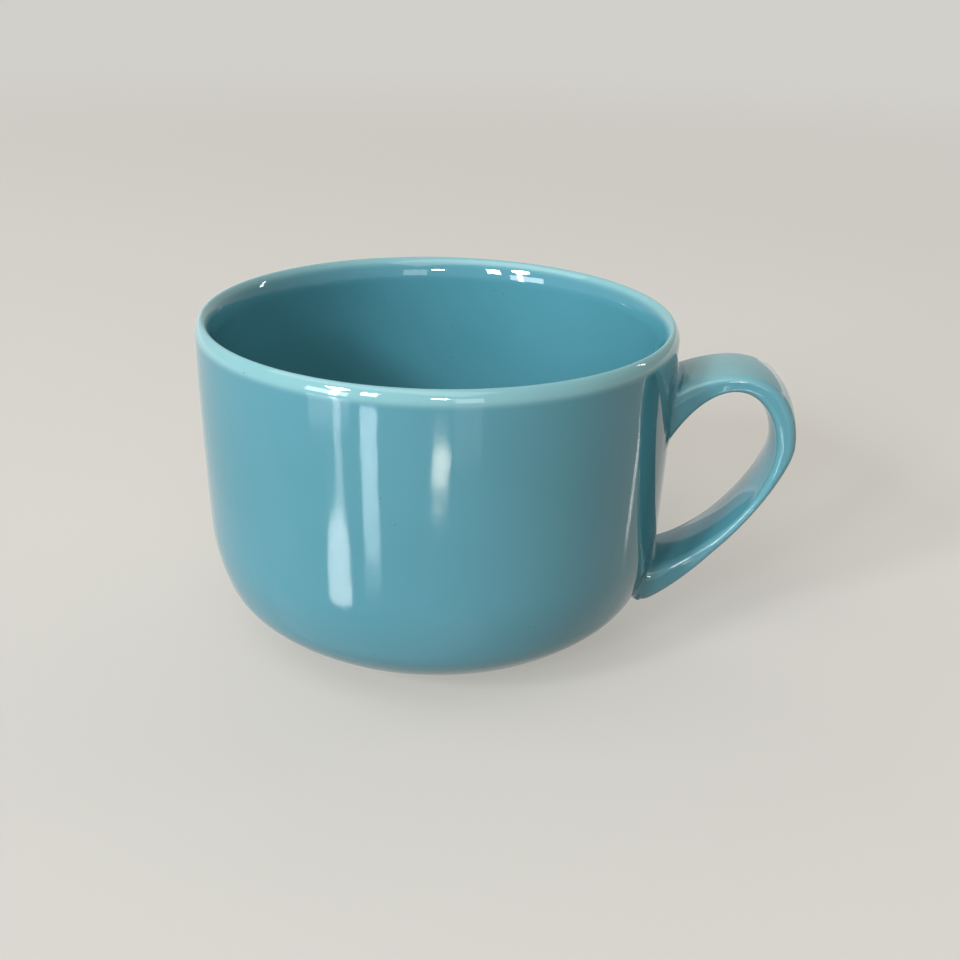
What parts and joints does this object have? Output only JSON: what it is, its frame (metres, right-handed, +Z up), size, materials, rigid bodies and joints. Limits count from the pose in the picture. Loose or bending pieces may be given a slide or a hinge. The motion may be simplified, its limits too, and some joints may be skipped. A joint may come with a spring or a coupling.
{
  "type": "soup mug",
  "caption": "Wide round soup mug with a rounded belly, a low foot ring and a flat strap handle that springs from the wall and runs down to the belly.",
  "frame": {"origin": "on the bowl's axis, at the table under the foot ring", "axes": "+Z up along the bowl's axis, +X out to the handle"},
  "size_m": [0.1567, 0.125, 0.088],
  "materials": {
    "body_glaze": "gloss glaze, with the foot ring's rest face left bare",
    "handle_glaze": "gloss glaze",
    "slip_glaze": "gloss glaze over slip"
  },
  "bodies": {
    "root": {"mug_body": "body_glaze", "handle": "handle_glaze", "upper_slip_joint": "slip_glaze", "lower_slip_joint": "slip_glaze"}
  },
  "joints": []
}
